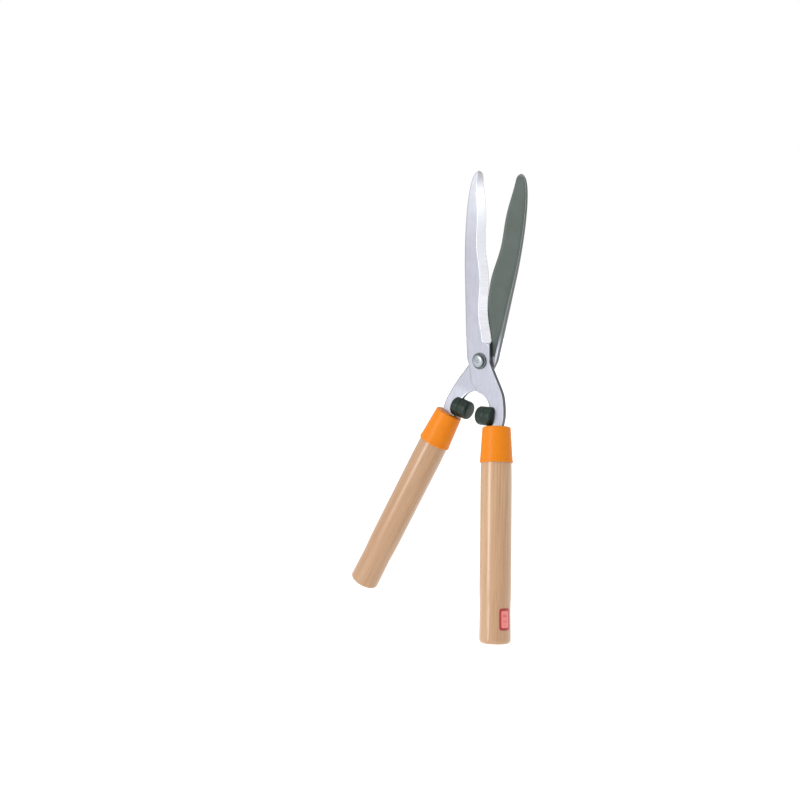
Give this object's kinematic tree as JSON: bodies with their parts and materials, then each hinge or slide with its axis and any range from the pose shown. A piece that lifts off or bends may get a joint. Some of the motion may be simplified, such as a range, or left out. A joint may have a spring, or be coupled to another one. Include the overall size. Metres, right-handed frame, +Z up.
{
  "type": "hedge shears",
  "caption": "Hand hedge shears: two wavy-edged steel blades crossing on a pivot bolt, cranked tangs with rubber bumpers, tapered ferrules and turned wooden handles.",
  "frame": {"origin": "centre of the right grip's round stretch, on that handle's axis", "axes": "+Z up along the front blade, +Y along the pivot axis towards the back, +X across the blades to the right"},
  "size_m": [0.2227, 0.0998, 0.4949],
  "materials": {
    "blade_steel": "satin ground",
    "fastener_steel": "zinc plated",
    "dark_steel": "blackened",
    "ferrule_plastic": "semi-gloss",
    "handle_wood": "clear lacquer",
    "bumper_rubber": "smooth",
    "label_film": "printed film",
    "insert_nylon": "moulded"
  },
  "bodies": {
    "right_half": {"front_blade": "blade_steel", "right_ferrule": "ferrule_plastic", "right_handle": "handle_wood", "right_bumper": "bumper_rubber", "right_bumper_pin": "fastener_steel", "handle_label": "label_film", "pivot_bolt": "fastener_steel", "front_washer": "dark_steel", "rear_washer": "fastener_steel", "spring_washer": "fastener_steel", "pivot_nut": "fastener_steel", "nut_insert": "insert_nylon"},
    "left_half": {"rear_blade": "blade_steel", "left_ferrule": "ferrule_plastic", "left_handle": "handle_wood", "left_bumper": "bumper_rubber", "left_bumper_pin": "fastener_steel"}
  },
  "joints": [
    {"name": "blade_pivot", "type": "hinge", "parent": "right_half", "child": "left_half", "pos_m": [-0.04422, 0.03917, 0.1798], "axis": [0, 1, 0], "range_deg": [-14.5, 45]}
  ]
}
